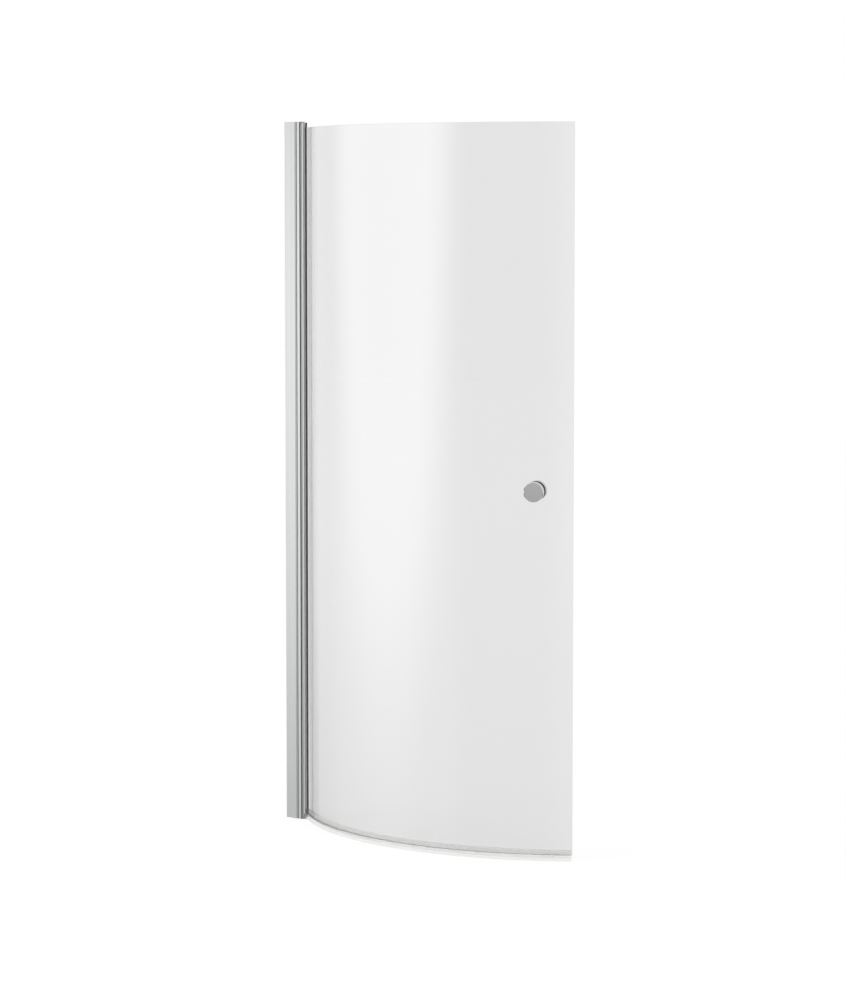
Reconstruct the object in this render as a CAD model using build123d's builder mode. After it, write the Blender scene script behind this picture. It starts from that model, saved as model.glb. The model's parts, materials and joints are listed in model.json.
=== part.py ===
from build123d import *
import os
from math import asin, atan2, cos, degrees, radians, sin, sqrt

os.makedirs("parts", exist_ok=True)

# Millimetres. The wall is the plane X = 0 and the screen stands out along +X.
# +Y is the bath's side, -Y is the room's side, where the glass bows out.
# Z = 0 is the lowest edge of the seal and of the wall profile.

# Overall sizes
screen_height = 1400
screen_width = 733
seat_gap = 0.4
fit_gap = 0.1
edge_round = 0.5

# Wall channel
channel_width = 22
channel_depth = 30.7
channel_wall = 1.5
channel_web = 1.8
lip_length = 3.8
lip_slope = 0.9
wall_hole_radius = 2.75
wall_hole_pitch = 420
wall_hole_count = 4

# Hinge profile, which slides in the wall channel
slide_clearance = 0.35
pull_out = 4.2
leg_length = 24.9
leg_wall = 1.5
web_wall = 1.6
arm_length = 5.2
arm_wall = 1.5
port_radius = 3
port_inset = 5
port_spacing = 11.2
port_hole_radius = 1.6

# Pivot, in line with the middle of the glass
pivot_from_web = 8
glass_plane_y = -2
pin_radius = 2
pin_clearance = 0.05
pin_engagement = 7
plate_thickness = 1.5
plate_tab_radius = 3.4
plate_gap = 0.3
thrust_washer_thickness = 1
thrust_washer_radius = 3.4

# Glass
glass_thickness = 6
glass_radius = 544
arc_start_x = 55.7
bend_radius = 14
glass_recess = 11.5
glass_bite = 8.2

# Glass profile, which turns on the pivot
barrel_radius = 7
gasket_gap = 2
floor_back = 3.6
outer_lip_length = 6.2
inner_lip_length = 4
lip_face_length = 3.2
lip_face_rise = 1.1
gasket_depth = 5
gasket_head_length = 2.5
gasket_head_width = 1.6
outer_head_length = 1.5
outer_head_width = 1.2
packer_thickness = 1.8
packer_height = 60
packer_count = 3
packer_side_gap = 0.5

# Bottom seal
seal_wall = 1.2
seal_floor = 1.5
seal_grip_height = 10.7
seal_start_gap = 0.6
notch_gap = 0.3
seal_end_gap = 2
fin_thickness = 1.4
fin_base = 0.6
inner_fin_height = 6

# Knob, one half on each side of the glass
knob_height = screen_height / 2
knob_from_edge = 72.7
knob_radius = 18.75
knob_head_length = 16
knob_neck_radius = 12
knob_neck_length = 7
knob_chamfer = 1
knob_back_chamfer = 0.6
knob_washer_thickness = 1.2
knob_washer_radius = 14
glass_hole_radius = 6
stud_radius = 3
stud_clearance = 0.05
stud_bite = 14
sleeve_gap = 0.1
grub_radius = 2
grub_length = 8
grub_socket_radius = 1
grub_socket_depth = 2.5

# Side fixing screws, which lock the hinge profile in the wall channel
side_screw_x = 20.5
side_screw_count = 3
side_screw_inset = 150
side_screw_radius = 1.9
side_screw_length = 9
side_head_radius = 3.6
side_head_height = 2
cap_radius = 5.2
cap_height = 3.2
cap_wall = 1.2
screw_hole_gap = 0.05
plate_screw_length = 12
plate_head_radius = 3

# Channel caps
cap_plug_height = 12
cap_plug_wall = 1.5

# Places worked out from the sizes above
half_width = channel_width / 2
leg_half_width = half_width - channel_wall - slide_clearance
head_x = channel_depth + pull_out
leg_start_x = head_x - leg_length
arm_end_x = head_x + arm_length
web_front_x = head_x - seat_gap
web_back_x = web_front_x - web_wall
pivot_x = web_front_x + pivot_from_web
mid_height = screen_height / 2
glass_outer_y = glass_plane_y - glass_thickness / 2
glass_inner_y = glass_plane_y + glass_thickness / 2
glass_bottom = glass_recess
glass_top = screen_height - glass_recess
glass_height = glass_top - glass_bottom
outer_lip_x = pivot_x + outer_lip_length
inner_lip_x = pivot_x + inner_lip_length
floor_x = pivot_x - floor_back
glass_edge_x = outer_lip_x - glass_bite
pocket_half = glass_thickness / 2 + gasket_gap
profile_bottom = plate_thickness + thrust_washer_thickness + plate_gap
profile_top = screen_height - plate_thickness - plate_gap
profile_height = profile_top - profile_bottom
seal_start_x = outer_lip_x + seal_start_gap
grip_bottom = glass_bottom - seal_floor
notch_x = outer_lip_x - lip_face_length
notch_top = grip_bottom + notch_gap

# The bow of the glass's outer face: a short straight run, a tight bend and one wide arc
half_chord = (screen_width - arc_start_x) / 2
bow_x = arc_start_x + half_chord
bow_y = glass_outer_y + sqrt(glass_radius**2 - half_chord**2)
bend_y = glass_outer_y - bend_radius
bend_x = bow_x - sqrt((glass_radius + bend_radius) ** 2 - (bow_y - bend_y) ** 2)
bend_end = degrees(atan2(bend_y - bow_y, bend_x - bow_x))
edge_angle = degrees(asin(half_chord / glass_radius)) - 90
port_x = leg_start_x + port_inset
port_y = port_spacing / 2


def on_bow(depth, angle):
    """Point of the wide arc, at a depth inside the outer face."""
    radius = glass_radius - depth
    return (bow_x + radius * cos(radians(angle)), bow_y + radius * sin(radians(angle)))


def on_bend(depth, angle):
    """Point of the tight bend, at a depth inside the outer face."""
    radius = bend_radius + depth
    return (bend_x + radius * cos(radians(angle)), bend_y + radius * sin(radians(angle)))


def band(outer, inner, start_x, end_trim):
    """Plan of a strip that follows the glass between two depths inside its outer face."""
    last = edge_angle - degrees(end_trim / glass_radius)
    middle = (bend_end + last) / 2
    turn = (bend_end + 180 + 90) / 2
    with BuildSketch() as plan:
        with BuildLine():
            start_out = (start_x, glass_outer_y + outer)
            start_in = (start_x, glass_outer_y + inner)
            Line(start_in, start_out)
            Line(start_out, on_bend(outer, 90))
            ThreePointArc(on_bend(outer, 90), on_bend(outer, turn), on_bow(outer, bend_end))
            ThreePointArc(on_bow(outer, bend_end), on_bow(outer, middle), on_bow(outer, last))
            Line(on_bow(outer, last), on_bow(inner, last))
            ThreePointArc(on_bow(inner, last), on_bow(inner, middle), on_bow(inner, bend_end))
            ThreePointArc(on_bow(inner, bend_end), on_bend(inner, turn), on_bend(inner, 90))
            Line(on_bend(inner, 90), start_in)
        make_face()
    return plan.sketch


def box_plan(x_low, x_high, y_low, y_high):
    """Rectangle between two X and two Y values."""
    with BuildSketch() as plan:
        with Locations(((x_low + x_high) / 2, (y_low + y_high) / 2)):
            Rectangle(x_high - x_low, y_high - y_low)
    return plan.sketch


def spread(count, inset):
    """Evenly spaced heights, the outermost an inset from each end."""
    step = (screen_height - 2 * inset) / (count - 1)
    return [inset + step * n for n in range(count)]


# Wall channel, screwed to the wall through its web
with BuildPart() as wall_channel:
    with BuildSketch() as section:
        with BuildLine():
            Polyline(
                (0, -half_width),
                (channel_depth - lip_length, -half_width),
                (channel_depth, -half_width + lip_slope),
                (channel_depth, -half_width + channel_wall),
                (channel_web, -half_width + channel_wall),
                (channel_web, half_width - channel_wall),
                (channel_depth, half_width - channel_wall),
                (channel_depth, half_width - lip_slope),
                (channel_depth - lip_length, half_width),
                (0, half_width),
                close=True,
            )
        make_face()
        mouth = section.vertices().group_by(Axis.X)[-1].sort_by(Axis.Y)
        fillet([mouth[0], mouth[-1]], radius=edge_round)
    extrude(amount=screen_height)
    with BuildSketch(Plane.YZ):
        with Locations((0, mid_height)):
            with GridLocations(0, wall_hole_pitch, 1, wall_hole_count):
                Circle(wall_hole_radius)
    extrude(amount=channel_web, mode=Mode.SUBTRACT)
    with BuildSketch(Plane.XZ.offset(-half_width)):
        with Locations(*[(side_screw_x, z) for z in spread(side_screw_count, side_screw_inset)]):
            Circle(side_screw_radius + screw_hole_gap)
    extrude(amount=channel_wall, mode=Mode.SUBTRACT)
wall_channel.part.label = "wall_channel"
export_step(wall_channel.part, "parts/wall_channel.step")

# Hinge profile: two legs in the channel, a web in front and an arm over the pivot's room side
with BuildPart() as hinge_profile:
    with BuildSketch(Plane.XY.offset(plate_thickness)) as section:
        add(box_plan(leg_start_x, web_front_x, -leg_half_width, leg_half_width))
        with Locations(((leg_start_x + web_back_x) / 2, 0)):
            Rectangle(
                web_back_x - leg_start_x, 2 * (leg_half_width - leg_wall), mode=Mode.SUBTRACT
            )
        add(box_plan(web_back_x, head_x + arm_wall, -leg_half_width, -leg_half_width + leg_wall))
        add(box_plan(head_x, head_x + arm_wall, -half_width, -leg_half_width))
        add(box_plan(head_x, arm_end_x, -half_width, -half_width + arm_wall))
        with Locations((port_x, port_y), (port_x, -port_y)):
            Circle(port_radius)
        arm_tip = section.vertices().group_by(Axis.X)[-1]
        fillet(arm_tip, radius=edge_round)
        shoulder = section.vertices().filter_by_position(
            Axis.X, head_x - fit_gap, head_x + fit_gap
        )
        fillet(shoulder.sort_by(Axis.Y)[0], radius=edge_round)
    extrude(amount=screen_height - 2 * plate_thickness)
    with BuildSketch(Plane.XY.offset(plate_thickness)):
        with Locations((port_x, port_y), (port_x, -port_y)):
            Circle(port_hole_radius)
    extrude(amount=screen_height - 2 * plate_thickness, mode=Mode.SUBTRACT)
    with BuildSketch(Plane.XZ.offset(-leg_half_width)):
        with Locations(*[(side_screw_x, z) for z in spread(side_screw_count, side_screw_inset)]):
            Circle(side_screw_radius + screw_hole_gap)
    extrude(amount=leg_wall, mode=Mode.SUBTRACT)
hinge_profile.part.label = "hinge_profile"
export_step(hinge_profile.part, "parts/hinge_profile.step")

# Soft strip on the hinge profile's web, which keeps water out behind the barrel
with BuildPart() as cradle_seal:
    with BuildSketch(Plane.XY.offset(profile_bottom)):
        add(
            box_plan(
                web_front_x,
                pivot_x - barrel_radius - plate_gap,
                glass_plane_y - gasket_gap,
                glass_plane_y + gasket_gap,
            )
        )
    extrude(amount=profile_height)
cradle_seal.part.label = "cradle_seal"
export_step(cradle_seal.part, "parts/cradle_seal.step")


def plate_plan():
    """Plan of a pivot plate: it closes the hinge profile's end and reaches over the pivot."""
    with BuildSketch() as plan:
        add(box_plan(leg_start_x, head_x, -leg_half_width, leg_half_width))
        add(box_plan(head_x, arm_end_x, -half_width, glass_plane_y + plate_tab_radius))
        add(
            box_plan(
                head_x, pivot_x, glass_plane_y - plate_tab_radius, glass_plane_y + plate_tab_radius
            )
        )
        with Locations((pivot_x, glass_plane_y)):
            Circle(plate_tab_radius)
        with Locations((pivot_x, glass_plane_y)):
            Circle(pin_radius, mode=Mode.SUBTRACT)
    return plan.sketch


# Pivot plates at the bottom and the top, each with two countersunk screws
with BuildPart() as bottom_pivot_plate:
    with BuildSketch():
        add(plate_plan())
    extrude(amount=plate_thickness)
    with Locations(
        Plane((port_x, port_y, 0), x_dir=(1, 0, 0), z_dir=(0, 0, -1)),
        Plane((port_x, -port_y, 0), x_dir=(1, 0, 0), z_dir=(0, 0, -1)),
    ):
        Cone(
            port_hole_radius,
            plate_head_radius,
            plate_thickness,
            align=(Align.CENTER, Align.CENTER, Align.MAX),
            mode=Mode.SUBTRACT,
        )
bottom_pivot_plate.part.label = "bottom_pivot_plate"
export_step(bottom_pivot_plate.part, "parts/bottom_pivot_plate.step")

with BuildPart() as top_pivot_plate:
    with BuildSketch(Plane.XY.offset(screen_height - plate_thickness)):
        add(plate_plan())
    extrude(amount=plate_thickness)
    with Locations((port_x, port_y, screen_height), (port_x, -port_y, screen_height)):
        Cone(
            port_hole_radius,
            plate_head_radius,
            plate_thickness,
            align=(Align.CENTER, Align.CENTER, Align.MAX),
            mode=Mode.SUBTRACT,
        )
top_pivot_plate.part.label = "top_pivot_plate"
export_step(top_pivot_plate.part, "parts/top_pivot_plate.step")

# Pivot pins, riveted in the plates
with BuildPart() as bottom_pivot_pin:
    with BuildSketch():
        with Locations((pivot_x, glass_plane_y)):
            Circle(pin_radius)
    extrude(amount=profile_bottom + pin_engagement)
    chamfer(bottom_pivot_pin.edges().sort_by(Axis.Z)[-1], length=plate_gap)
bottom_pivot_pin.part.label = "bottom_pivot_pin"
export_step(bottom_pivot_pin.part, "parts/bottom_pivot_pin.step")

with BuildPart() as top_pivot_pin:
    with BuildSketch(Plane.XY.offset(profile_top - pin_engagement)):
        with Locations((pivot_x, glass_plane_y)):
            Circle(pin_radius)
    extrude(amount=screen_height - profile_top + pin_engagement)
    chamfer(top_pivot_pin.edges().sort_by(Axis.Z)[0], length=plate_gap)
top_pivot_pin.part.label = "top_pivot_pin"
export_step(top_pivot_pin.part, "parts/top_pivot_pin.step")

# Washer that the glass profile turns on
with BuildPart() as thrust_washer:
    with BuildSketch(Plane.XY.offset(plate_thickness)):
        with Locations((pivot_x, glass_plane_y)):
            Circle(thrust_washer_radius)
            Circle(pin_radius + pin_clearance, mode=Mode.SUBTRACT)
    extrude(amount=thrust_washer_thickness)
thrust_washer.part.label = "thrust_washer"
export_step(thrust_washer.part, "parts/thrust_washer.step")

# Countersunk screws of the pivot plates, in the hinge profile's screw ports
with BuildPart() as plate_screws:
    for y in (port_y, -port_y):
        for end, up in ((0, -1), (screen_height, 1)):
            with Locations(Plane((port_x, y, end), x_dir=(1, 0, 0), z_dir=(0, 0, up))):
                Cone(
                    port_hole_radius - screw_hole_gap,
                    plate_head_radius - screw_hole_gap,
                    plate_thickness,
                    align=(Align.CENTER, Align.CENTER, Align.MAX),
                )
                Cylinder(
                    port_hole_radius - screw_hole_gap,
                    plate_screw_length,
                    align=(Align.CENTER, Align.CENTER, Align.MAX),
                )
plate_screws.part.label = "plate_screws"
export_step(plate_screws.part, "parts/plate_screws.step")

# Screws through the channel's bath side into the hinge profile, and their snap-on caps
with BuildPart() as side_fixing_screws:
    for z in spread(side_screw_count, side_screw_inset):
        with BuildSketch(Plane.XZ.offset(-half_width)):
            with Locations((side_screw_x, z)):
                Circle(side_screw_radius)
        extrude(amount=side_screw_length)
        with BuildSketch(Plane.XZ.offset(-half_width)):
            with Locations((side_screw_x, z)):
                Circle(side_head_radius)
        extrude(amount=-side_head_height)
side_fixing_screws.part.label = "side_fixing_screws"
export_step(side_fixing_screws.part, "parts/side_fixing_screws.step")

with BuildPart() as screw_caps:
    for z in spread(side_screw_count, side_screw_inset):
        with BuildSketch(Plane.XZ.offset(-half_width)):
            with Locations((side_screw_x, z)):
                Circle(cap_radius)
        extrude(amount=-cap_height)
    rims = screw_caps.faces().group_by(Axis.Y)[-1].edges()
    chamfer(rims, length=cap_wall / 2)
    with BuildSketch(Plane.XZ.offset(-half_width)):
        with Locations(*[(side_screw_x, z) for z in spread(side_screw_count, side_screw_inset)]):
            Circle(side_head_radius + fit_gap)
    extrude(amount=-(side_head_height + fit_gap), mode=Mode.SUBTRACT)
screw_caps.part.label = "screw_caps"
export_step(screw_caps.part, "parts/screw_caps.step")


def channel_plug():
    """Plans of a channel cap: the full plug and the hollow in it."""
    full = box_plan(
        channel_web,
        leg_start_x - seat_gap,
        -half_width + channel_wall + fit_gap,
        half_width - channel_wall - fit_gap,
    )
    hollow = box_plan(
        channel_web + cap_plug_wall,
        leg_start_x - seat_gap - cap_plug_wall,
        -half_width + channel_wall + fit_gap + cap_plug_wall,
        half_width - channel_wall - fit_gap - cap_plug_wall,
    )
    return full, hollow


# Caps that close the channel behind the hinge profile
with BuildPart() as channel_bottom_cap:
    with BuildSketch():
        add(channel_plug()[0])
    extrude(amount=cap_plug_height)
    with BuildSketch(Plane.XY.offset(cap_plug_wall)):
        add(channel_plug()[1])
    extrude(amount=cap_plug_height, mode=Mode.SUBTRACT)
channel_bottom_cap.part.label = "channel_bottom_cap"
export_step(channel_bottom_cap.part, "parts/channel_bottom_cap.step")

with BuildPart() as channel_top_cap:
    with BuildSketch(Plane.XY.offset(screen_height - cap_plug_height)):
        add(channel_plug()[0])
    extrude(amount=cap_plug_height)
    with BuildSketch(Plane.XY.offset(screen_height - cap_plug_wall)):
        add(channel_plug()[1])
    extrude(amount=-cap_plug_height, mode=Mode.SUBTRACT)
channel_top_cap.part.label = "channel_top_cap"
export_step(channel_top_cap.part, "parts/channel_top_cap.step")


def notch_plan():
    """Plan of the notch in the lips, where the seal's fins run under them."""
    return box_plan(
        notch_x, outer_lip_x, glass_plane_y - barrel_radius, glass_plane_y + barrel_radius
    )


# Glass profile: a round back about the pivot and two lips along the glass
with BuildPart() as glass_profile:
    with BuildSketch(Plane.XY.offset(profile_bottom)) as section:
        with Locations((pivot_x, glass_plane_y)):
            Circle(barrel_radius)
            Rectangle(
                2 * barrel_radius,
                2 * barrel_radius,
                align=(Align.MIN, Align.CENTER),
                mode=Mode.SUBTRACT,
            )
        add(box_plan(pivot_x, outer_lip_x, glass_plane_y - barrel_radius, glass_plane_y))
        add(box_plan(pivot_x, inner_lip_x, glass_plane_y, glass_plane_y + barrel_radius))
        add(
            box_plan(
                floor_x,
                outer_lip_x,
                glass_plane_y - pocket_half,
                glass_plane_y + pocket_half,
            ),
            mode=Mode.SUBTRACT,
        )
        with BuildLine():
            Polyline(
                (pivot_x, glass_plane_y - barrel_radius),
                (notch_x, glass_plane_y - barrel_radius),
                (notch_x, glass_plane_y - barrel_radius + lip_face_rise),
                close=True,
            )
        make_face(mode=Mode.SUBTRACT)
        lips = section.vertices().filter_by_position(
            Axis.X, inner_lip_x - fit_gap, outer_lip_x + fit_gap
        )
        fillet([lips.sort_by(Axis.Y)[0], lips.sort_by(Axis.Y)[-1]], radius=edge_round)
    extrude(amount=profile_height)
    with BuildSketch(Plane.XY.offset(profile_bottom)):
        add(notch_plan())
    extrude(amount=notch_top - profile_bottom, mode=Mode.SUBTRACT)
glass_profile.part.label = "glass_profile"
export_step(glass_profile.part, "parts/glass_profile.step")


def plug_plan():
    """Plan of an end plug: it fills the pocket past the glass and holds the pin's bore."""
    with BuildSketch() as plan:
        add(
            box_plan(
                floor_x,
                outer_lip_x - gasket_depth - fit_gap,
                glass_plane_y - pocket_half + fit_gap,
                glass_plane_y + pocket_half - fit_gap,
            )
        )
        add(
            box_plan(
                pivot_x,
                inner_lip_x,
                glass_plane_y - glass_thickness / 2 + fit_gap,
                glass_plane_y + glass_thickness / 2 - fit_gap,
            )
        )
        with Locations((pivot_x, glass_plane_y)):
            Circle(pin_radius + pin_clearance, mode=Mode.SUBTRACT)
    return plan.sketch


# Pivot plugs in the ends of the glass profile
with BuildPart() as bottom_pivot_plug:
    with BuildSketch(Plane.XY.offset(profile_bottom)):
        add(plug_plan())
    extrude(amount=glass_bottom - profile_bottom)
    with BuildSketch(Plane.XY.offset(profile_bottom)):
        add(notch_plan())
    extrude(amount=notch_top - profile_bottom, mode=Mode.SUBTRACT)
bottom_pivot_plug.part.label = "bottom_pivot_plug"
export_step(bottom_pivot_plug.part, "parts/bottom_pivot_plug.step")

with BuildPart() as top_pivot_plug:
    with BuildSketch(Plane.XY.offset(glass_top + seat_gap)):
        add(plug_plan())
    extrude(amount=profile_top - glass_top - seat_gap)
top_pivot_plug.part.label = "top_pivot_plug"
export_step(top_pivot_plug.part, "parts/top_pivot_plug.step")

# Gaskets on both faces of the glass: the inner one runs the profile's full height
with BuildPart() as outer_gasket:
    with BuildSketch(Plane.XY.offset(glass_bottom)):
        add(
            box_plan(
                outer_lip_x - gasket_depth, outer_lip_x, glass_outer_y - gasket_gap, glass_outer_y
            )
        )
    extrude(amount=glass_height)
    head_bottom = grip_bottom + seal_grip_height + notch_gap
    with BuildSketch(Plane.XY.offset(head_bottom)):
        add(
            box_plan(
                outer_lip_x,
                outer_lip_x + outer_head_length,
                glass_outer_y - outer_head_width,
                glass_outer_y,
            )
        )
    extrude(amount=glass_top - head_bottom)
outer_gasket.part.label = "outer_gasket"
export_step(outer_gasket.part, "parts/outer_gasket.step")

with BuildPart() as inner_gasket:
    with BuildSketch(Plane.XY.offset(profile_bottom)):
        add(
            box_plan(
                outer_lip_x - gasket_depth, inner_lip_x, glass_inner_y, glass_inner_y + gasket_gap
            )
        )
        add(
            box_plan(
                inner_lip_x,
                inner_lip_x + gasket_head_length,
                glass_inner_y,
                glass_inner_y + gasket_head_width,
            )
        )
    extrude(amount=profile_height)
    with BuildSketch(Plane.XY.offset(profile_bottom)):
        add(
            box_plan(
                outer_lip_x - gasket_depth,
                inner_lip_x + gasket_head_length,
                glass_inner_y,
                glass_inner_y + gasket_gap,
            )
        )
    extrude(amount=notch_top - profile_bottom, mode=Mode.SUBTRACT)
inner_gasket.part.label = "inner_gasket"
export_step(inner_gasket.part, "parts/inner_gasket.step")

# Packers between the glass's edge and the pocket's floor
with BuildPart() as edge_packers:
    for z in spread(packer_count, side_screw_inset):
        with BuildSketch(Plane.XY.offset(z - packer_height / 2)):
            add(
                box_plan(
                    floor_x,
                    glass_edge_x,
                    glass_plane_y - pocket_half + packer_side_gap,
                    glass_plane_y + pocket_half - packer_side_gap,
                )
            )
        extrude(amount=packer_height)
edge_packers.part.label = "edge_packers"
export_step(edge_packers.part, "parts/edge_packers.step")

# Knob's axis: along the bow's radius, half way up the screen
knob_angle = edge_angle - degrees(knob_from_edge / glass_radius)
knob_out = (cos(radians(knob_angle)), sin(radians(knob_angle)), 0)
knob_in = (-knob_out[0], -knob_out[1], 0)
outer_face = Plane((*on_bow(0, knob_angle), knob_height), x_dir=(0, 0, 1), z_dir=knob_out)
inner_face = Plane(
    (*on_bow(glass_thickness, knob_angle), knob_height), x_dir=(0, 0, 1), z_dir=knob_in
)

# Glass panel
with BuildPart() as glass_panel:
    with BuildSketch(Plane.XY.offset(glass_bottom)):
        add(band(0, glass_thickness, glass_edge_x, 0))
    extrude(amount=glass_height)
    with BuildSketch(outer_face):
        Circle(glass_hole_radius)
    extrude(amount=2 * glass_thickness, both=True, mode=Mode.SUBTRACT)
glass_panel.part.label = "glass_panel"
export_step(glass_panel.part, "parts/glass_panel.step")

# Bottom seal: a stiff channel that grips the glass and soft fins under it
with BuildPart() as bottom_seal_channel:
    with BuildSketch(Plane.XY.offset(grip_bottom)):
        add(band(-seal_wall, glass_thickness + seal_wall, seal_start_x, seal_end_gap))
    extrude(amount=seal_grip_height)
    with BuildSketch(Plane.XY.offset(glass_bottom)):
        add(band(0, glass_thickness, seal_start_x - seal_wall, -seal_wall))
    extrude(amount=seal_grip_height, mode=Mode.SUBTRACT)
bottom_seal_channel.part.label = "bottom_seal_channel"
export_step(bottom_seal_channel.part, "parts/bottom_seal_channel.step")

fins_start_x = notch_x + notch_gap
with BuildPart() as bottom_seal_fins:
    with BuildSketch():
        add(band(-seal_wall, fin_thickness - seal_wall, fins_start_x, seal_end_gap))
    extrude(amount=grip_bottom)
    with BuildSketch(Plane.XY.offset(grip_bottom - fin_base)):
        add(band(-seal_wall, glass_thickness + seal_wall, fins_start_x, seal_end_gap))
    extrude(amount=fin_base)
    with BuildSketch(Plane.XY.offset(grip_bottom - inner_fin_height)):
        add(
            band(
                glass_thickness + seal_wall - fin_thickness,
                glass_thickness + seal_wall,
                fins_start_x,
                seal_end_gap,
            )
        )
    extrude(amount=inner_fin_height)
bottom_seal_fins.part.label = "bottom_seal_fins"
export_step(bottom_seal_fins.part, "parts/bottom_seal_fins.step")


def knob_half(face, axis):
    """Half of the knob: a neck, a broad head and a blind bore for the stud."""
    with BuildPart() as half:
        with BuildSketch(face.offset(knob_washer_thickness)):
            Circle(knob_neck_radius)
        extrude(amount=knob_neck_length)
        with BuildSketch(face.offset(knob_washer_thickness + knob_neck_length)):
            Circle(knob_radius)
        extrude(amount=knob_head_length)
        head = half.faces().filter_by(GeomType.CYLINDER).sort_by(SortBy.AREA)[-1]
        rims = head.edges().filter_by(GeomType.CIRCLE).sort_by(axis)
        chamfer(rims[-1], length=knob_chamfer)
        chamfer(rims[0], length=knob_back_chamfer)
        with BuildSketch(face.offset(knob_washer_thickness)):
            Circle(stud_radius + stud_clearance)
        extrude(amount=stud_bite + fit_gap, mode=Mode.SUBTRACT)
    return half.part


# Outer and inner halves of the knob: the inner one has a grub screw from below
with BuildPart() as outer_knob:
    add(knob_half(outer_face, Axis(outer_face.origin, outer_face.z_dir)))
outer_knob.part.label = "outer_knob"
export_step(outer_knob.part, "parts/outer_knob.step")

grub_depth = knob_washer_thickness + knob_neck_length + knob_back_chamfer + 2 * grub_radius
grub_centre = inner_face.origin + inner_face.z_dir * grub_depth
grub_start = Plane(
    grub_centre - Vector(0, 0, stud_radius + stud_clearance), x_dir=knob_out, z_dir=(0, 0, -1)
)
with BuildPart() as inner_knob:
    add(knob_half(inner_face, Axis(inner_face.origin, inner_face.z_dir)))
    with BuildSketch(grub_start):
        Circle(grub_radius + fit_gap)
    extrude(amount=knob_radius, mode=Mode.SUBTRACT)
inner_knob.part.label = "inner_knob"
export_step(inner_knob.part, "parts/inner_knob.step")

with BuildPart() as knob_grub_screw:
    with BuildSketch(grub_start.offset(fit_gap)):
        Circle(grub_radius)
    extrude(amount=grub_length)
    with BuildSketch(grub_start.offset(fit_gap + grub_length - grub_socket_depth)):
        RegularPolygon(grub_socket_radius, 6)
    extrude(amount=grub_socket_depth, mode=Mode.SUBTRACT)
knob_grub_screw.part.label = "knob_grub_screw"
export_step(knob_grub_screw.part, "parts/knob_grub_screw.step")

# Stud that joins the knob's halves through the glass
with BuildPart() as knob_stud:
    with BuildSketch(inner_face.offset(knob_washer_thickness + stud_bite)):
        Circle(stud_radius)
    extrude(amount=-(glass_thickness + 2 * (knob_washer_thickness + stud_bite)))
knob_stud.part.label = "knob_stud"
export_step(knob_stud.part, "parts/knob_stud.step")

# Soft washers under the knob's halves, the inner one clear of the hollow side's rise
washer_rise = knob_washer_radius**2 / (2 * (glass_radius - glass_thickness))
with BuildPart() as outer_knob_washer:
    with BuildSketch(outer_face.offset(fit_gap)):
        Circle(knob_washer_radius)
        Circle(glass_hole_radius, mode=Mode.SUBTRACT)
    extrude(amount=knob_washer_thickness - fit_gap)
outer_knob_washer.part.label = "outer_knob_washer"
export_step(outer_knob_washer.part, "parts/outer_knob_washer.step")

with BuildPart() as inner_knob_washer:
    with BuildSketch(inner_face.offset(washer_rise + 2 * fit_gap)):
        Circle(knob_washer_radius)
        Circle(glass_hole_radius, mode=Mode.SUBTRACT)
    extrude(amount=knob_washer_thickness - washer_rise - 2 * fit_gap)
inner_knob_washer.part.label = "inner_knob_washer"
export_step(inner_knob_washer.part, "parts/inner_knob_washer.step")

# Sleeve in the glass's hole
with BuildPart() as knob_sleeve:
    with BuildSketch(inner_face):
        Circle(glass_hole_radius - sleeve_gap)
        Circle(stud_radius + sleeve_gap, mode=Mode.SUBTRACT)
    extrude(amount=-glass_thickness)
knob_sleeve.part.label = "knob_sleeve"
export_step(knob_sleeve.part, "parts/knob_sleeve.step")

print("bow's lowest Y", round(bow_y - glass_radius, 1), "pivot", pivot_x, glass_plane_y)
print("knob's foot", [round(v, 2) for v in outer_face.origin], "angle", round(knob_angle, 2))
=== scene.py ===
import json
from math import asin, atan2, cos, pi, radians, sin, sqrt

import bmesh
import bpy
from mathutils import Matrix, Vector


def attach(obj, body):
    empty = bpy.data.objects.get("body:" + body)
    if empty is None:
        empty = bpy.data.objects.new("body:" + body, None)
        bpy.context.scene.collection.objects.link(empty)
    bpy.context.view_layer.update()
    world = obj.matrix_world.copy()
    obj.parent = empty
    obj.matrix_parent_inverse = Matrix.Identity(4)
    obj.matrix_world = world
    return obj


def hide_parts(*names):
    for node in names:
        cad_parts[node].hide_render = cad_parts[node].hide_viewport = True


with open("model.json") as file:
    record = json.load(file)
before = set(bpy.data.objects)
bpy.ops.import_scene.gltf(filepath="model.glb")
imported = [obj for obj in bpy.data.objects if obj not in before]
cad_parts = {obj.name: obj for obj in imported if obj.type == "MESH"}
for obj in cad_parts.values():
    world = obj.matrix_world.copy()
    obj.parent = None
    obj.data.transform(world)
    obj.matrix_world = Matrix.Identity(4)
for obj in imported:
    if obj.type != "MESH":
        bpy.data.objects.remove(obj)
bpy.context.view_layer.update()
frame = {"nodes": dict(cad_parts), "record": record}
nodes = frame["nodes"]
print("frame loaded,", len(nodes), "nodes")

# Metres. The wall is the plane x = 0, the room is on the -y side and the bath on the +y side.
wallSide = "wall_side"
screenSide = "screen"

# The line that the glass follows, seen from above, on its outer face
glassLine = {
    "startX": .0557,
    "outerY": -.005,
    "bendRadius": .014,
    "bowRadius": .544,
    "width": .733,
    "bendSteps": 14,
    "bowSteps": 110,
}

# Points closer than this join, and a section's rounded corner gets this many steps
meshSizes = {"joinDistance": 1e-6, "cornerSteps": 2}


def toLinear(code):
    # sRGB hex to the linear values that a shader's socket takes
    values = []
    for i in (1, 3, 5):
        channel = int(code[i:i + 2], 16) / 255
        values.append(channel / 12.92 if channel <= .04045 else ((channel + .055) / 1.055) ** 2.4)
    return tuple(values) + (1,)


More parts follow.
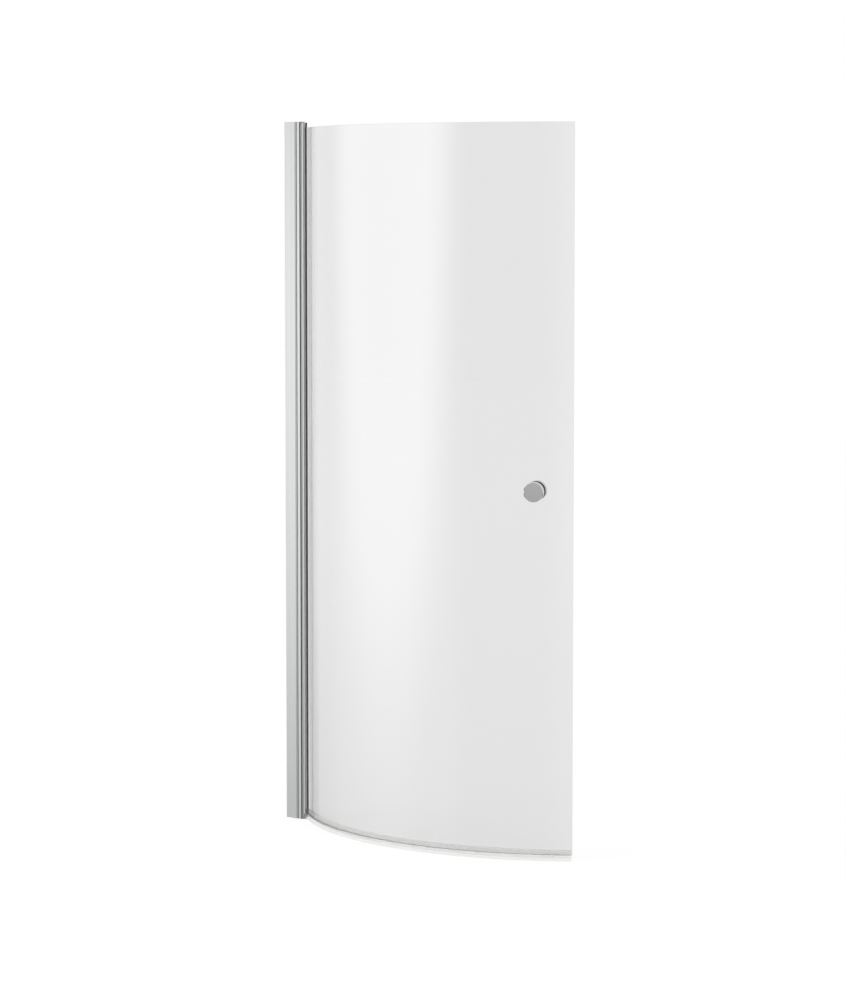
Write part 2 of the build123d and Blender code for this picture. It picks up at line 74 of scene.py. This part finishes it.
def addNode(tree, kind, settings=None, links=None):
    # one node with its settings and links; a key is a socket's name or number, or a property
    node = tree.nodes.new(kind)
    for key, value in (settings or {}).items():
        if isinstance(key, int) or key in node.inputs:
            node.inputs[key].default_value = value
        else:
            setattr(node, key, value)
    for key, source in (links or {}).items():
        tree.links.new(source, node.inputs[key])
    return node


def addInputs(tree, kind, settings, inputs):
    # a node with some inputs, where a number is a setting and a socket is a link
    links = {}
    for key, value in inputs.items():
        if isinstance(value, (int, float)):
            settings[key] = value
        elif value is not None:
            links[key] = value
    return addNode(tree, kind, settings, links).outputs[0]


def maths(tree, operation, first, second=None):
    return addInputs(tree, "ShaderNodeMath", {"operation": operation}, {0: first, 1: second})


def mixValues(tree, share, first, second):
    inputs = {0: share, 2: first, 3: second}
    return addInputs(tree, "ShaderNodeMix", {"data_type": "FLOAT"}, inputs)


def emptyTree(owner):
    # the node tree of a material or a world
    owner.use_nodes = True
    owner.node_tree.nodes.clear()
    return owner.node_tree


def newMaterial(name, settings):
    material = bpy.data.materials.new(name)
    tree = emptyTree(material)
    shader = addNode(tree, "ShaderNodeBsdfPrincipled", settings)
    addNode(tree, "ShaderNodeOutputMaterial", None, {"Surface": shader.outputs[0]})
    place = addNode(tree, "ShaderNodeTexCoord").outputs["Object"]
    return material, tree, shader, place


def grain(tree, place, grainMm, stretch=1, detail=3):
    # noise with a grain of one size, stretched along z
    perMetre = 1000 / grainMm
    scale = {"Scale": (perMetre, perMetre, perMetre / stretch)}
    mapping = addNode(tree, "ShaderNodeMapping", scale, {"Vector": place})
    settings = {"Scale": 1, "Detail": detail, "Roughness": .6}
    return addNode(tree, "ShaderNodeTexNoise", settings, {"Vector": mapping.outputs[0]}).outputs[0]


def spreadValue(tree, source, low, high):
    # noise sits between about .3 and .7, so that span is stretched to low and high
    values = {"From Min": .3, "From Max": .7, "To Min": low, "To Max": high}
    return addNode(tree, "ShaderNodeMapRange", values, {"Value": source}).outputs[0]


def fadeValue(tree, source, span, low, high):
    # a soft step from low to high over a span of the source
    settings = {
        "interpolation_type": "SMOOTHSTEP",
        "From Min": span[0],
        "From Max": span[1],
        "To Min": low,
        "To Max": high,
    }
    return addNode(tree, "ShaderNodeMapRange", settings, {"Value": source}).outputs[0]


def bump(tree, shader, height, metres, strength, before=None):
    links = {"Height": height}
    if before:
        links["Normal"] = before.outputs[0]
    node = addNode(tree, "ShaderNodeBump", {"Distance": metres, "Strength": strength}, links)
    tree.links.new(node.outputs[0], shader.inputs["Normal"])
    return node


def tint(tree, shader, source, codeLow, codeHigh):
    # noise moves the colour between two close tones
    amount = spreadValue(tree, source, 0, 1)
    settings = {"data_type": "RGBA", 6: toLinear(codeLow), 7: toLinear(codeHigh)}
    mix = addNode(tree, "ShaderNodeMix", settings, {0: amount})
    tree.links.new(mix.outputs[2], shader.inputs["Base Color"])


def roughen(tree, shader, source, look, socket="Roughness"):
    rough = spreadValue(tree, source, look["roughLow"], look["roughHigh"])
    tree.links.new(rough, shader.inputs[socket])


# Anodised aluminium, extruded and satin etched: soft broad reflections and faint lines along it
aluminiumLook = {
    "colourLow": "#B0B1B1",
    "colourHigh": "#B8B9B9",
    "roughLow": .27,
    "roughHigh": .33,
    "lineMm": .5,
    "streakMm": 2.5,
    "lengthMm": 900,
    "lineDepth": .000004,
    "lineStrength": .25,
}


def anodisedAluminium():
    look = aluminiumLook
    material, tree, shader, place = newMaterial("anodised_aluminium_satin", {"Metallic": 1})
    lines = grain(tree, place, look["lineMm"], look["lengthMm"] / look["lineMm"])
    streaks = grain(tree, place, look["streakMm"], look["lengthMm"] / look["streakMm"])
    tint(tree, shader, streaks, look["colourLow"], look["colourHigh"])
    roughen(tree, shader, lines, look)
    bump(tree, shader, lines, look["lineDepth"], look["lineStrength"])
    return material


# Stainless steel, pressed and tumbled: a fine even grain
steelLook = {
    "colourLow": "#A9AAAB",
    "colourHigh": "#B9BABB",
    "roughLow": .22,
    "roughHigh": .36,
    "grainMm": .6,
    "grainDepth": .00001,
    "grainStrength": .15,
}


def tumbledSteel():
    look = steelLook
    material, tree, shader, place = newMaterial("stainless_steel_tumbled", {"Metallic": 1})
    spots = grain(tree, place, look["grainMm"])
    tint(tree, shader, spots, look["colourLow"], look["colourHigh"])
    roughen(tree, shader, spots, look)
    bump(tree, shader, spots, look["grainDepth"], look["grainStrength"])
    return material


# Chromium plate on turned brass: a clear mirror, dulled a little where fingers touch it
chromeLook = {
    "colourLow": "#C3C3C3",
    "colourHigh": "#CACACA",
    "roughLow": .08,
    "roughHigh": .16,
    "markMm": 9,
    "markDetail": 5,
    "turnMm": .35,
    "turnDepth": .000002,
    "turnStrength": .1,
}


def chromePlate():
    look = chromeLook
    material, tree, shader, place = newMaterial("chrome_plate", {"Metallic": 1})
    marks = grain(tree, place, look["markMm"], 1, look["markDetail"])
    tint(tree, shader, marks, look["colourLow"], look["colourHigh"])
    roughen(tree, shader, marks, look)
    turned = grain(tree, place, look["turnMm"])
    bump(tree, shader, turned, look["turnDepth"], look["turnStrength"])
    return material


# Float glass, toughened and bent: clear, a little grey, with a very faint roller wave. Behind a
# pane this thin things hardly shift, so the body barely bends the light and the coat has the gloss.
# The ease values are places along x and the share of gloss that is left there; the cut in gloss
# beside the profile is painted light.
glassLook = {
    "colour": "#E5E5E5",
    "bodyIor": 1.03,
    "glossIor": 1.7,
    "roughLow": 0,
    "roughHigh": .03,
    "filmMm": 70,
    "filmStretch": 3,
    "waveMm": 160,
    "waveDepth": .00003,
    "waveStrength": .2,
    # the gloss cut beside the profile is painted light, standing in for the shade that the profile
    # throws into the pane's reflection
    "easeOut": (.05, .053),
    "easeBack": (.058, .085),
    "easeGloss": .15,
}


def toughenedGlass():
    look = glassLook
    settings = {
        "Base Color": toLinear(look["colour"]),
        "Transmission Weight": 1,
        "Roughness": 0,
        "IOR": look["bodyIor"],
        "Coat Weight": 1,
        "Coat IOR": look["glossIor"],
    }
    material, tree, shader, place = newMaterial("toughened_glass", settings)
    film = grain(tree, place, look["filmMm"], look["filmStretch"])
    roughen(tree, shader, film, look, "Coat Roughness")
    # painted light: the gloss fades out beside the profile, so that the pane there mirrors little
    # of the profile's shaded side and looks lighter, and comes back along the bow
    across = addNode(tree, "ShaderNodeSeparateXYZ", None, {0: place}).outputs[0]
    fade = fadeValue(tree, across, look["easeOut"], 1, look["easeGloss"])
    back = fadeValue(tree, across, look["easeBack"], look["easeGloss"], 1)
    tree.links.new(maths(tree, "MAXIMUM", fade, back), shader.inputs["Coat Weight"])
    wave = grain(tree, place, look["waveMm"], 1, 0)
    ripple = bump(tree, shader, wave, look["waveDepth"], look["waveStrength"])
    tree.links.new(ripple.outputs[0], shader.inputs["Coat Normal"])
    return material


# Soft PVC, extruded: translucent with a warm cast and a waxy, uneven surface
pvcLook = {
    "colour": "#F7F7F6",
    "bodyIor": 1.03,
    "glossIor": 1.5,
    "glossWeight": .4,
    "glossRoughness": .1,
    "transmission": .9,
    "roughLow": .12,
    "roughHigh": .18,
    "rippleMm": 14,
    "rippleStretch": .25,
    "rippleStrength": .05,
    "grainMm": 1.2,
    "grainStrength": .1,
    "depth": .00001,
}


def translucentPvc():
    look = pvcLook
    settings = {
        "Base Color": toLinear(look["colour"]),
        "Transmission Weight": look["transmission"],
        "IOR": look["bodyIor"],
        "Coat Weight": look["glossWeight"],
        "Coat IOR": look["glossIor"],
        "Coat Roughness": look["glossRoughness"],
    }
    material, tree, shader, place = newMaterial("pvc_translucent", settings)
    ripples = grain(tree, place, look["rippleMm"], look["rippleStretch"])
    roughen(tree, shader, ripples, look)
    first = bump(tree, shader, ripples, look["depth"], look["rippleStrength"])
    fine = grain(tree, place, look["grainMm"])
    bump(tree, shader, fine, look["depth"], look["grainStrength"], first)
    return material


# EPDM rubber, extruded: matt, with a fine grain and a little dust
rubberLook = {
    "blackLow": "#383839",
    "blackHigh": "#424243",
    "greyLow": "#B3B4B5",
    "greyHigh": "#BDBEBF",
    "specular": .4,
    "roughLow": .5,
    "roughHigh": .68,
    "dustMm": 25,
    "dustStretch": 6,
    "dustDetail": 6,
    "grainMm": .5,
    "grainDepth": .00003,
    "grainStrength": .3,
}


def epdmRubber(shade):
    look = rubberLook
    settings = {"Specular IOR Level": look["specular"]}
    material, tree, shader, place = newMaterial("epdm_rubber_" + shade, settings)
    dust = grain(tree, place, look["dustMm"], look["dustStretch"], look["dustDetail"])
    tint(tree, shader, dust, look[shade + "Low"], look[shade + "High"])
    roughen(tree, shader, dust, look)
    fine = grain(tree, place, look["grainMm"])
    bump(tree, shader, fine, look["grainDepth"], look["grainStrength"])
    return material


# Nylon, injection moulded: a fine spark texture and a dull sheen
nylonLook = {
    "colourLow": "#B4B6B7",
    "colourHigh": "#BDBFC0",
    "ior": 1.53,
    "roughLow": .38,
    "roughHigh": .5,
    "patchMm": 1000 / 60,
    "sparkMm": .4,
    "sparkDepth": .00003,
    "sparkStrength": .25,
}


def mouldedNylon():
    look = nylonLook
    material, tree, shader, place = newMaterial("moulded_nylon_grey", {"IOR": look["ior"]})
    spark = grain(tree, place, look["sparkMm"])
    patches = grain(tree, place, look["patchMm"])
    tint(tree, shader, patches, look["colourLow"], look["colourHigh"])
    roughen(tree, shader, spark, look)
    bump(tree, shader, spark, look["sparkDepth"], look["sparkStrength"])
    return material


finishes = {
    "satin_aluminium": anodisedAluminium(),
    "stainless_steel": tumbledSteel(),
    "chrome": chromePlate(),
    "clear_glass": toughenedGlass(),
    "clear_plastic": translucentPvc(),
    "black_rubber": epdmRubber("black"),
    "grey_rubber": epdmRubber("grey"),
    "grey_plastic": mouldedNylon(),
}
slotOfNode = {part["node"]: part["material_slot"] for part in frame["record"]["subparts"]}
for name, solid in nodes.items():
    solid.data.materials.clear()
    solid.data.materials.append(finishes[slotOfNode[name]])
print("materials made")


def addObject(name, data):
    item = bpy.data.objects.new(name, data)
    bpy.context.scene.collection.objects.link(item)
    return item


def addPiece(name, bm, body, replaced, smoothDegrees=32):
    # a bmesh becomes a piece that stands for its CAD node
    mesh = bpy.data.meshes.new(name)
    bmesh.ops.recalc_face_normals(bm, faces=bm.faces)
    bm.to_mesh(mesh)
    bm.free()
    mesh.polygons.foreach_set("use_smooth", [True] * len(mesh.polygons))
    mesh.set_sharp_from_angle(angle=radians(smoothDegrees))
    piece = addObject(name, mesh)
    mesh.materials.append(finishes[slotOfNode[replaced]])
    # the large faces keep their own direction, and the narrow bevels blend between them
    weighted = piece.modifiers.new("weighted_normals", "WEIGHTED_NORMAL")
    weighted.keep_sharp = True
    weighted.weight = 100
    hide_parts(replaced)
    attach(piece, body)


def roundOff(bm, geom, radius, segments, affect):
    # rounds a flat section's corners (VERTICES) or a solid's edges (EDGES)
    bmesh.ops.bevel(
        bm,
        geom=geom,
        offset=radius,
        offset_type="OFFSET",
        segments=segments,
        profile=.5,
        affect=affect,
        clamp_overlap=affect == "EDGES",
        material=-1,
    )


def sharpEdges(bm, above):
    pairs = [e for e in bm.edges if len(e.link_faces) == 2]
    return [e for e in pairs if e.calc_face_angle(0) > radians(above)]


def joinPoints(bm):
    bmesh.ops.remove_doubles(bm, verts=bm.verts, dist=meshSizes["joinDistance"])


def cut(bm, cutter):
    # takes the cutter's solid out of bm and gives the result
    pair = []
    for name, solid in (("body", bm), ("cutter", cutter)):
        bmesh.ops.recalc_face_normals(solid, faces=solid.faces)
        mesh = bpy.data.meshes.new(name)
        solid.to_mesh(mesh)
        solid.free()
        pair.append(addObject(name, mesh))
    body, tool = pair
    boolean = body.modifiers.new("cut", "BOOLEAN")
    boolean.operation = "DIFFERENCE"
    boolean.solver = "EXACT"
    boolean.object = tool
    result = bmesh.new()
    result.from_object(body, bpy.context.evaluated_depsgraph_get())
    for item in pair:
        mesh = item.data
        bpy.data.objects.remove(item)
        bpy.data.meshes.remove(mesh)
    return result


def addPrism(bm, sides, radius, start, end, place):
    # a straight prism or cylinder along z between two heights, moved by place
    bmesh.ops.create_cone(
        bm,
        cap_ends=True,
        cap_tris=False,
        segments=sides,
        radius1=radius,
        radius2=radius,
        depth=end - start,
        matrix=place @ Matrix.Translation((0, 0, (start + end) / 2)),
    )


def addTurned(bm, points, centre, steps):
    # turns an outline round a line along z through the centre
    verts = [bm.verts.new(p) for p in points]
    edges = [bm.edges.new(pair) for pair in zip(verts, verts[1:])]
    bmesh.ops.spin(
        bm,
        geom=verts + edges,
        cent=centre,
        axis=(0, 0, 1),
        angle=2 * pi,
        steps=steps,
        use_merge=True,
        use_duplicate=False,
    )


def glassPlan():
    # where the tight bend and the wide bow have their centres, and how far each turns
    line = glassLine
    halfChord = (line["width"] - line["startX"]) / 2
    bowX = line["startX"] + halfChord
    bowY = line["outerY"] + sqrt(line["bowRadius"] ** 2 - halfChord ** 2)
    bendY = line["outerY"] - line["bendRadius"]
    reach = line["bowRadius"] + line["bendRadius"]
    bendX = bowX - sqrt(reach ** 2 - (bowY - bendY) ** 2)
    joinAngle = atan2(bendY - bowY, bendX - bowX)
    edgeAngle = asin(halfChord / line["bowRadius"]) - pi / 2
    return (bendX, bendY), (bowX, bowY), joinAngle, edgeAngle


def followGlass(bm, startX, endTrim):
    # draws the faces in bm along the glass: a straight run, the tight bend and the wide bow
    line = glassLine
    bend, bow, joinAngle, edgeAngle = glassPlan()
    first = list(bm.faces)
    run = bmesh.ops.extrude_face_region(bm, geom=first)["geom"]
    moved = [g for g in run if isinstance(g, bmesh.types.BMVert)]
    bmesh.ops.translate(bm, verts=moved, vec=(bend[0] - startX, 0, 0))
    last = [g for g in run if isinstance(g, bmesh.types.BMFace)]
    bendTurn = -(pi / 2 - (joinAngle + pi))
    bowTurn = edgeAngle - endTrim / line["bowRadius"] - joinAngle
    turns = ((bend, bendTurn, line["bendSteps"]), (bow, bowTurn, line["bowSteps"]))
    for centre, turn, steps in turns:
        spun = bmesh.ops.spin(
            bm,
            geom=last,
            cent=(centre[0], centre[1], 0),
            axis=(0, 0, 1),
            angle=turn,
            steps=steps,
            use_merge=False,
            use_duplicate=False,
        )
        last = [g for g in spun["geom_last"] if isinstance(g, bmesh.types.BMFace)]


def sectionAlongGlass(startX, points, corner, endTrim):
    # a section with rounded corners, drawn out along the glass. The points are millimetres: the
    # depth inside the glass's outer face, and the height.
    bm = bmesh.new()
    outerY = glassLine["outerY"]
    verts = [bm.verts.new((startX, outerY + depth / 1000, z / 1000)) for depth, z in points]
    face = bm.faces.new(verts)
    roundOff(bm, list(face.verts), corner / 1000, meshSizes["cornerSteps"], "VERTICES")
    followGlass(bm, startX, endTrim)
    return bm


# The pane: 6 mm glass with ground arrises and a hole for the knob. The x and the hole's values
# are metres, the rest millimetres.
paneSizes = {
    "startX": .0405,
    "thickness": 6,
    "low": 11.5,
    "high": 1388.5,
    "arris": .6,
    "holeRadius": .006,
    "holeBand": .008,
    "holeSides": 48,
    "drillReach": .02,
}


# The knob: two turned halves, one on each side of the glass
knobSizes = {
    "height": .7,
    "fromEdge": .0727,
    "washer": .0012,
    "neckRadius": .012,
    "neckLength": .007,
    "headRadius": .01875,
    "headLength": .016,
    "frontChamfer": .001,
    "backChamfer": .0006,
    "rim": .00025,
    "rimDegrees": 25,
    "rimSteps": 2,
    "steps": 96,
}


def knobFrame(side):
    # z runs out of the glass's face: side 1 is the outer face and -1 the inner one
    size = knobSizes
    bow, edgeAngle = glassPlan()[1], glassPlan()[3]
    angle = edgeAngle - size["fromEdge"] / glassLine["bowRadius"]
    out = Vector((cos(angle), sin(angle), 0))
    radius = glassLine["bowRadius"] - (0 if side == 1 else paneSizes["thickness"] / 1000)
    foot = Vector((bow[0], bow[1], 0)) + out * radius + Vector((0, 0, size["height"]))
    axis = out * side
    up = Vector((0, 0, 1))
    across = up.cross(axis)
    turn = Matrix((across, up, axis)).transposed().to_4x4()
    return Matrix.Translation(foot) @ turn


def addPane():
    size = paneSizes
    low, high, thick = size["low"], size["high"], size["thickness"]
    points = [(0, low), (thick, low), (thick, high), (0, high)]
    bm = sectionAlongGlass(size["startX"], points, size["arris"], 0)
    # two lines across, so that the hole only touches faces that lie behind the knob
    for side in (-1, 1):
        everything = list(bm.verts) + list(bm.edges) + list(bm.faces)
        line = (0, 0, knobSizes["height"] + side * size["holeBand"])
        bmesh.ops.bisect_plane(bm, geom=everything, plane_co=line, plane_no=(0, 0, 1))
    drill = bmesh.new()
    reach = size["drillReach"]
    addPrism(drill, size["holeSides"], size["holeRadius"], -reach, reach, knobFrame(1))
    addPiece("pane_of_glass", cut(bm, drill), screenSide, "glass_panel")


addPane()


# The seal under the pane: a grip with rounded lips, and two tapering fins. The x values and the
# trim are metres, the rest millimetres.
sealSizes = {
    "startX": .0493,
    "finStartX": .0458,
    "endTrim": .002,
    "wall": 1.2,
    "low": 10,
    "floorTop": 11.5,
    "high": 20.7,
    "join": .05,
    "tip": .8,
    "rootInset": .3,
    "rootDepth": .7,
    "innerTip": 4,
    "gripCorner": .3,
    "finCorner": .25,
}


def addSeal():
    size = sealSizes
    outer = -size["wall"]
    inner = paneSizes["thickness"]
    far = inner + size["wall"]
    grip = [
        (outer, size["low"]),
        (far, size["low"]),
        (far, size["high"]),
        (inner, size["high"]),
        (inner, size["floorTop"]),
        (0, size["floorTop"]),
        (0, size["high"]),
        (outer, size["high"]),
    ]
    bm = sectionAlongGlass(size["startX"], grip, size["gripCorner"], size["endTrim"])
    addPiece("seal_grip", bm, screenSide, "bottom_seal_channel")
    root = size["low"] - size["rootDepth"]
    top = size["low"] - size["join"]
    fins = [
        (outer, 0),
        (outer + size["tip"], 0),
        (size["rootInset"], root),
        (inner - size["rootInset"], root),
        (far - size["tip"], size["innerTip"]),
        (far, size["innerTip"]),
        (far, top),
        (outer, top),
    ]
    bm = sectionAlongGlass(size["finStartX"], fins, size["finCorner"], size["endTrim"])
    addPiece("seal_fins", bm, screenSide, "bottom_seal_fins")


addSeal()
print("pane and seal made")


# Extruded and pressed parts keep their CAD shape, with the sharp edges broken. A row gives the
# parts, the body, the radius, its steps and the angle up to which faces shade as one.
deburrSizes = {"flatDegrees": .5, "edgeDegrees": 40}
deburrRows = [
    (["wall_channel"], wallSide, .0002, 2, 10),
    (["hinge_profile"], wallSide, .0002, 2, 32),
    (["glass_profile"], screenSide, .0002, 2, 32),
    (["bottom_pivot_plate", "top_pivot_plate", "thrust_washer"], wallSide, .00015, 2, 32),
    (["bottom_pivot_pin", "top_pivot_pin"], wallSide, .0004, 3, 32),
    (["channel_bottom_cap", "channel_top_cap", "cradle_seal"], wallSide, .0002, 2, 32),
    (["screw_caps", "side_fixing_screws"], wallSide, .0003, 3, 32),
    (["bottom_pivot_plug", "top_pivot_plug", "edge_packers"], screenSide, .0003, 3, 32),
    (["outer_gasket", "inner_gasket"], screenSide, .0004, 3, 32),
    (["outer_knob_washer", "inner_knob_washer"], screenSide, .0002, 2, 32),
]


def addDeburred(node, body, radius, segments, smoothDegrees):
    bm = bmesh.new()
    bm.from_mesh(nodes[node].data)
    joinPoints(bm)
    bmesh.ops.dissolve_limit(
        bm,
        angle_limit=radians(deburrSizes["flatDegrees"]),
        use_dissolve_boundaries=False,
        verts=bm.verts,
        edges=bm.edges,
    )
    edges = sharpEdges(bm, deburrSizes["edgeDegrees"])
    roundOff(bm, edges, radius, segments, "EDGES")
    addPiece("deburred_" + node, bm, body, node, smoothDegrees)


for parts, body, radius, segments, smoothDegrees in deburrRows:
    for node in parts:
        addDeburred(node, body, radius, segments, smoothDegrees)
print("profiles, plates and small parts made")


# Countersunk screws in the pivot plates, with a hexagon socket
plateScrewSizes = {
    "x": .015,
    "y": .0056,
    "screenHeight": 1.4,
    "headRadius": .00295,
    "headLength": .0015,
    "shankRadius": .00155,
    "length": .012,
    "rim": .0002,
    "socketRadius": .00125,
    "socketDepth": .0009,
    "socketSides": 6,
    "steps": 32,
}


def addPlateScrews():
    size = plateScrewSizes
    head, shank, rim = size["headRadius"], size["shankRadius"], size["rim"]
    outline = [
        (0, 0),
        (head - rim, 0),
        (head - rim / 2, rim / 2),
        (shank, size["headLength"]),
        (shank, size["length"] - shank / 2),
        (shank / 2, size["length"]),
        (0, size["length"]),
    ]
    bm = bmesh.new()
    sockets = bmesh.new()
    depth = size["socketDepth"]
    for end, way in ((0, 1), (size["screenHeight"], -1)):
        for y in (-size["y"], size["y"]):
            place = Matrix.Translation((size["x"], y, end)) @ Matrix.Diagonal((1, 1, way, 1))
            points = [place @ Vector((r, 0, z)) for r, z in outline]
            addTurned(bm, points, (size["x"], y, 0), size["steps"])
            addPrism(sockets, size["socketSides"], size["socketRadius"], -depth, depth, place)
    joinPoints(bm)
    addPiece("plate_screws_with_sockets", cut(bm, sockets), wallSide, "plate_screws")


addPlateScrews()
print("screws made")


def addKnobHalf(name, side, node):
    size = knobSizes
    neck, head = size["neckRadius"], size["headRadius"]
    neckEnd = size["washer"] + size["neckLength"]
    front = neckEnd + size["headLength"]
    outline = [
        (0, size["washer"]),
        (neck, size["washer"]),
        (neck, neckEnd),
        (head - size["backChamfer"], neckEnd),
        (head, neckEnd + size["backChamfer"]),
        (head, front - size["frontChamfer"]),
        (head - size["frontChamfer"], front),
        (0, front),
    ]
    bm = bmesh.new()
    addTurned(bm, [(r, 0, z) for r, z in outline], (0, 0, 0), size["steps"])
    joinPoints(bm)
    edges = sharpEdges(bm, size["rimDegrees"])
    roundOff(bm, edges, size["rim"], size["rimSteps"], "EDGES")
    bmesh.ops.transform(bm, matrix=knobFrame(side), verts=bm.verts)
    addPiece(name, bm, screenSide, node)


addKnobHalf("knob_outer_half", 1, "outer_knob")
addKnobHalf("knob_inner_half", -1, "inner_knob")
print("knob made")


cameraSizes = {
    "place": (4.6404, -4.9463, 1.2163),
    "pitch": 85.17,
    "turn": 40.9,
    "lens": 121.6,
    "sensor": 36,
}


def addCamera():
    size = cameraSizes
    data = bpy.data.cameras.new("photo_camera")
    data.sensor_width = size["sensor"]
    data.lens = size["lens"]
    camera = addObject("photo_camera", data)
    camera.location = size["place"]
    camera.rotation_euler = (radians(size["pitch"]), 0, radians(size["turn"]))
    bpy.context.scene.camera = camera
    bpy.context.scene.view_settings.view_transform = "Standard"


addCamera()


# A pale floor that gives off a share of its light where it is seen directly or in a gloss
floorLook = {
    "size": 14,
    "colour": "#E6E6E6",
    "roughness": .7,
    "whiteShare": .78,
    "whiteLevel": 1.075,
}


def addFloor():
    look = floorLook
    bm = bmesh.new()
    bmesh.ops.create_grid(bm, x_segments=1, y_segments=1, size=look["size"])
    mesh = bpy.data.meshes.new("floor")
    bm.to_mesh(mesh)
    bm.free()
    floor = addObject("floor", mesh)
    material = bpy.data.materials.new("pale_floor")
    tree = emptyTree(material)
    settings = {"Color": toLinear(look["colour"]), "Roughness": look["roughness"]}
    matt = addNode(tree, "ShaderNodeBsdfDiffuse", settings)
    white = addNode(tree, "ShaderNodeEmission", {"Strength": look["whiteLevel"]})
    rays = addNode(tree, "ShaderNodeLightPath").outputs
    seen = maths(tree, "MAXIMUM", rays["Is Camera Ray"], rays["Is Transmission Ray"])
    seen = maths(tree, "MAXIMUM", seen, rays["Is Glossy Ray"])
    share = maths(tree, "MULTIPLY", seen, look["whiteShare"])
    shaders = {0: share, 1: matt.outputs[0], 2: white.outputs[0]}
    mix = addNode(tree, "ShaderNodeMixShader", None, shaders)
    addNode(tree, "ShaderNodeOutputMaterial", None, {"Surface": mix.outputs[0]})
    mesh.materials.append(material)
    floor.visible_glossy = False


addFloor()

# The studio that gloss and matt surfaces see: a big softbox on the room's left with a dark flag
# over it, a dimmer wall on its right, and both fall off below the horizon, where the floor lifts
# them again. The camera sees plain white behind the object. Turns and widths are degrees, and a
# fade is a span of the view direction's x, y or z, or of the distance from the softbox's middle.
studio = {
    "softboxTurn": -137,
    "softboxHalfWidth": 30,
    "softboxLevel": 2.41,
    "softboxTilt": .85,
    "softboxFoot": .31,
    "footSlope": 4,
    "softboxTop": .03,
    "topSlope": 8,
    "softboxFade": (.7, 1.3),
    "dimTurn": -80,
    "dimWidths": (28, 12),
    "dimLevel": .72,
    "wallLevel": 1.25,
    "bathLevel": .9,
    "bathFade": (-.3, 0),
    "lowLevel": .5,
    "lowFade": (-.18, -.08),
    "deepLevel": .15,
    "deepFade": (-.4, -.18),
    "floorLevel": 1.5,
    "floorFade": (-.6, -.42),
    "flagDepth": .8,
    "flagWidths": (65, 35),
    "flagFoot": (.04, .1),
    "flagTop": (.3, .45),
}


def setWorld():
    look = studio
    world = bpy.data.worlds.new("studio")
    bpy.context.scene.world = world
    tree = emptyTree(world)
    ray = addNode(tree, "ShaderNodeTexCoord").outputs["Generated"]
    alongX, alongY, alongZ = addNode(tree, "ShaderNodeSeparateXYZ", None, {0: ray}).outputs
    flat = addNode(tree, "ShaderNodeCombineXYZ", None, {0: alongX, 1: alongY})
    normalise = {"operation": "NORMALIZE"}
    level = addNode(tree, "ShaderNodeVectorMath", normalise, {0: flat.outputs[0]})

    def towards(turn):
        # the cosine of the angle between the ray's compass direction and a turn
        aim = (cos(radians(turn)), sin(radians(turn)), 0)
        settings = {"operation": "DOT_PRODUCT", 1: aim}
        node = addNode(tree, "ShaderNodeVectorMath", settings, {0: level.outputs[0]})
        return node.outputs["Value"]

    def fade(source, span, low, high):
        return fadeValue(tree, source, span, low, high)

    def calc(operation, first, second=None):
        return maths(tree, operation, first, second)

    facing = towards(look["softboxTurn"])
    tilt = towards(look["softboxTurn"] + 90)
    u = calc("DIVIDE", calc("ARCCOSINE", facing), radians(look["softboxHalfWidth"]))
    below = calc("SUBTRACT", look["softboxFoot"], calc("MULTIPLY", alongZ, look["footSlope"]))
    above = calc("MULTIPLY", calc("SUBTRACT", alongZ, look["softboxTop"]), look["topSlope"])
    v = calc("MAXIMUM", calc("MAXIMUM", below, above), 0)
    away = calc("SQRT", calc("ADD", calc("MULTIPLY", u, u), calc("MULTIPLY", v, v)))
    inSoftbox = fade(away, look["softboxFade"], 1, 0)
    softbox = calc("ADD", calc("MULTIPLY", tilt, look["softboxTilt"]), look["softboxLevel"])

    dimSpan = [cos(radians(width)) for width in look["dimWidths"]]
    room = fade(towards(look["dimTurn"]), dimSpan, look["wallLevel"], look["dimLevel"])
    wall = mixValues(tree, fade(alongY, look["bathFade"], 0, 1), room, look["bathLevel"])
    both = mixValues(tree, inSoftbox, wall, softbox)

    low = fade(alongZ, look["lowFade"], look["lowLevel"], 1)
    deep = fade(alongZ, look["deepFade"], look["deepLevel"], 1)
    lift = fade(alongZ, look["floorFade"], look["floorLevel"], 0)
    deep = calc("ADD", deep, lift)

    # the flag keeps the profile's top from burning out
    flagSpan = [cos(radians(width)) for width in look["flagWidths"]]
    foot = fade(alongZ, look["flagFoot"], 0, 1)
    top = fade(alongZ, look["flagTop"], 1, 0)
    flag = calc("MULTIPLY", calc("MULTIPLY", foot, top), fade(facing, flagSpan, 0, 1))
    clear = calc("SUBTRACT", 1, calc("MULTIPLY", flag, look["flagDepth"]))

    total = calc("MULTIPLY", calc("MULTIPLY", both, low), calc("MULTIPLY", deep, clear))
    rays = addNode(tree, "ShaderNodeLightPath").outputs
    seen = calc("MAXIMUM", rays["Is Camera Ray"], rays["Is Transmission Ray"])
    strength = mixValues(tree, seen, total, 1.0)
    white = {"Color": (1, 1, 1, 1)}
    background = addNode(tree, "ShaderNodeBackground", white, {"Strength": strength})
    addNode(tree, "ShaderNodeOutputWorld", None, {"Surface": background.outputs[0]})


setWorld()

lampSizes = {"place": (-1.2, -2.4, 3.2), "aim": (.3, 0, .6), "size": 1.6, "power": 28}


def addLamp():
    size = lampSizes
    data = bpy.data.lights.new("key", "AREA")
    data.shape = "SQUARE"
    data.size = size["size"]
    data.energy = size["power"]
    lamp = addObject("key", data)
    lamp.location = size["place"]
    lamp.visible_glossy = False
    aim = Vector(size["aim"]) - Vector(size["place"])
    lamp.rotation_euler = aim.to_track_quat("-Z", "Y").to_euler()


addLamp()
print("stage and light made")
